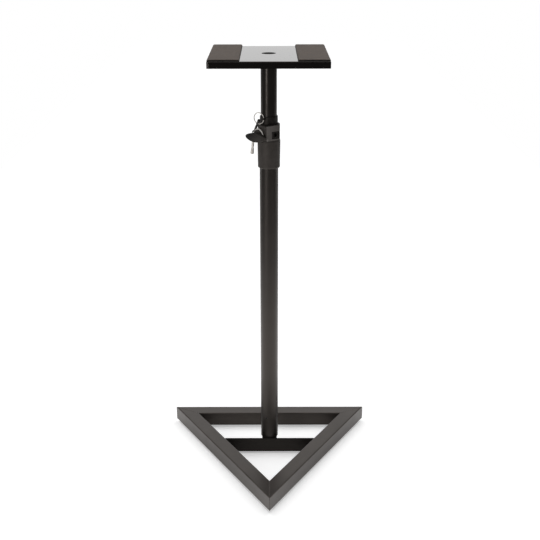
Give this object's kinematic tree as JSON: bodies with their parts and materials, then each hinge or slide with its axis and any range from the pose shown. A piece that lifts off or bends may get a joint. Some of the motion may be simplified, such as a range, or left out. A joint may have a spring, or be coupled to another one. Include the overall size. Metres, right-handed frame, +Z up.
{
  "type": "studio monitor stand",
  "caption": "Height-adjustable loudspeaker stand: triangular tube base, telescoping round column with clamp collar, hand screw and lock pin, square top plate with soft strips.",
  "frame": {"origin": "on the floor, in the middle of the base triangle's bounding box; the column's axis stands 59.5 mm behind it", "axes": "+Z up along the column, +Y from the base's front corner towards its rear rail, +X to the right"},
  "size_m": [0.412, 0.3568, 0.8245],
  "materials": {
    "black_powder_coat": "satin black powder coat",
    "black_plastic": "fine moulded grain",
    "foot_rubber": "matt",
    "strip_rubber": "matt fine-celled strip",
    "bright_steel": "bright nickel plating",
    "plain_steel": "zinc plating",
    "insert_brass": "plain turned",
    "pad_plastic": "plain nylon"
  },
  "bodies": {
    "base": {"rear_rail": "black_powder_coat", "left_rail": "black_powder_coat", "right_rail": "black_powder_coat", "foot_left": "foot_rubber", "foot_right": "foot_rubber", "foot_front": "foot_rubber", "cross_angle": "black_powder_coat", "column_spigot": "black_powder_coat", "outer_column": "black_powder_coat", "column_screw": "plain_steel", "collar": "black_plastic", "collar_screw": "plain_steel", "guide_bush": "black_plastic", "pin_guide": "black_plastic", "screw_insert": "insert_brass", "boss_clip": "bright_steel", "tether_ring": "bright_steel", "tether_link": "black_plastic"},
    "mast_guide": {"lower_guide": "black_plastic"},
    "mast": {"inner_tube": "black_powder_coat", "top_plug": "plain_steel", "plate_socket": "black_powder_coat", "top_plate": "black_powder_coat", "plate_screw": "plain_steel", "left_pad": "strip_rubber", "right_pad": "strip_rubber"},
    "clamp_foot": {"clamp_pad": "pad_plastic"},
    "hand_screw": {"clamp_stud": "plain_steel", "wing_knob": "black_plastic"},
    "hanging_pin": {"lock_pin": "bright_steel"}
  },
  "joints": [
    {"name": "column_slide", "type": "slide", "parent": "base", "child": "mast_guide", "axis": [0, 0, 1], "range_m": [0, 0.42]},
    {"name": "mast_swivel", "type": "hinge", "parent": "mast_guide", "child": "mast", "pos_m": [0, 0.05947, 0.7], "axis": [0, 0, 1], "continuous": true},
    {"name": "pad_slide", "type": "slide", "parent": "base", "child": "clamp_foot", "axis": [-0.7986, -0.6018, 0], "range_m": [0, 0.0026]},
    {"name": "knob_turn", "type": "hinge", "parent": "clamp_foot", "child": "hand_screw", "pos_m": [-0.01997, 0.04442, 0.67], "axis": [-0.7986, -0.6018, 0], "range_deg": [0, 720]},
    {"name": "pin_swing", "type": "hinge", "parent": "base", "child": "hanging_pin", "pos_m": [-0.02837, 0.0601, 0.675], "axis": [-0.7986, -0.6018, 0], "range_deg": [-15, 7]}
  ],
  "couplings": [
    {"joint": "pad_slide", "follows": "knob_turn", "m_per_rad": 0.00019894}
  ]
}
